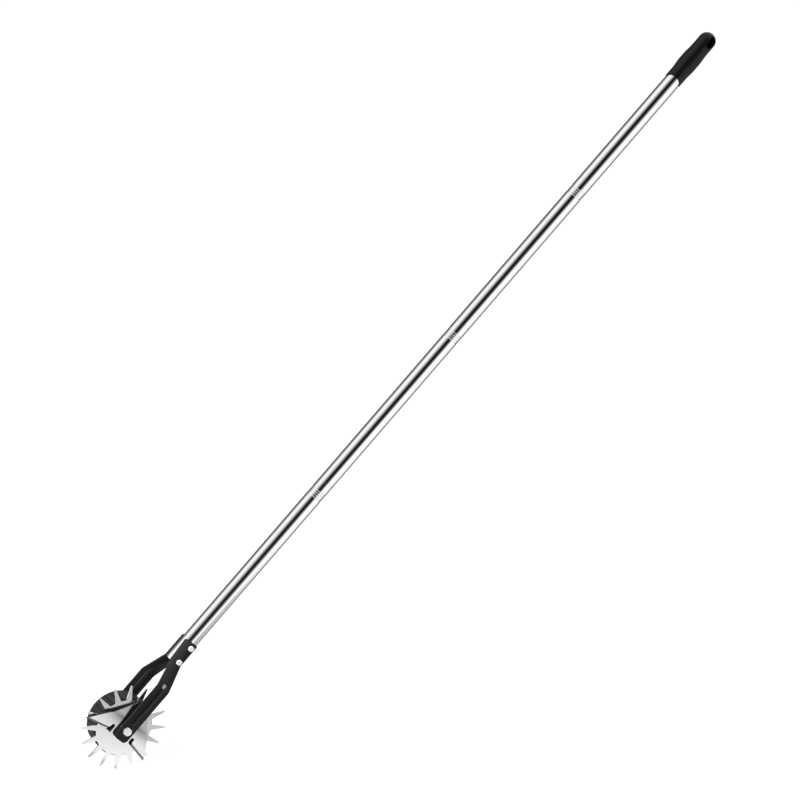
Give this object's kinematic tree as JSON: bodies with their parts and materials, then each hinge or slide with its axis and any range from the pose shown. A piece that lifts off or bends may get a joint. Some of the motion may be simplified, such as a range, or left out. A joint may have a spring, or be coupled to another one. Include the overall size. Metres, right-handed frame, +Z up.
{
  "type": "rotary lawn edger",
  "caption": "Long-handled rotary edge shear: a toothed star wheel with a ribbed drum turns in a fork against a fixed shear plate, on a screw-together chrome pole with a cap grip.",
  "frame": {"origin": "on the ground straight under the axle, in the middle plane of the fork and pole", "axes": "+Y along the axle towards the drum, so the star blade faces -Y; +Z up; the pole leans towards +X at 45 degrees, as in use"},
  "size_m": [1.0383, 0.0742, 1.0383],
  "materials": {
    "bright_chrome": "mirror chrome plate",
    "polished_steel": "mirror-polished steel",
    "zinc_steel": "bright zinc plate",
    "bearing_steel": "ground bearing steel",
    "turned_steel": "turned steel",
    "black_enamel": "satin black enamel",
    "ribbed_rubber": "matte black rubber",
    "cream_nylon": "moulded cream nylon",
    "black_plastic": "matte black plastic"
  },
  "bodies": {
    "frame": {"blade_side_fork_arm": "black_enamel", "drum_side_fork_arm": "black_enamel", "clamp_bolts": "zinc_steel", "clamp_nuts": "zinc_steel", "axle_bolt": "zinc_steel", "axle_nut": "zinc_steel", "plate_washer": "zinc_steel", "shear_plate": "polished_steel", "blade_side_spacer": "turned_steel", "axle_sleeve": "turned_steel", "bearing_spacer": "turned_steel", "drum_side_spacer": "zinc_steel", "hand_grip": "black_plastic", "blade_side_inner_race": "bearing_steel", "drum_side_inner_race": "bearing_steel", "pole_tube_1": "bright_chrome", "pole_tube_2": "bright_chrome", "pole_tube_3": "bright_chrome", "pole_tube_4": "bright_chrome", "threaded_socket_1": "turned_steel", "threaded_stud_1": "turned_steel", "threaded_socket_2": "turned_steel", "threaded_stud_2": "turned_steel", "threaded_socket_3": "turned_steel", "threaded_stud_3": "turned_steel"},
    "wheel": {"star_blade": "polished_steel", "star_lock_ring": "turned_steel", "wheel_core": "cream_nylon", "drum_tyre": "ribbed_rubber", "blade_side_outer_race": "bearing_steel", "drum_side_outer_race": "bearing_steel", "blade_side_shields": "bearing_steel", "drum_side_shields": "bearing_steel"},
    "blade_side_rollers": {"blade_side_balls": "bearing_steel", "blade_side_cage": "bearing_steel"},
    "drum_side_rollers": {"drum_side_balls": "bearing_steel", "drum_side_cage": "bearing_steel"}
  },
  "joints": [
    {"name": "wheel_spin", "type": "hinge", "parent": "frame", "child": "wheel", "pos_m": [0, 0, 0.06789], "axis": [0, 1, 0], "continuous": true},
    {"name": "blade_side_roll", "type": "hinge", "parent": "frame", "child": "blade_side_rollers", "pos_m": [0, 0, 0.06789], "axis": [0, 1, 0], "continuous": true},
    {"name": "drum_side_roll", "type": "hinge", "parent": "frame", "child": "drum_side_rollers", "pos_m": [0, 0, 0.06789], "axis": [0, 1, 0], "continuous": true}
  ],
  "couplings": [
    {"joint": "blade_side_roll", "follows": "wheel_spin", "ratio": 0.60242},
    {"joint": "drum_side_roll", "follows": "wheel_spin", "ratio": 0.60242}
  ]
}
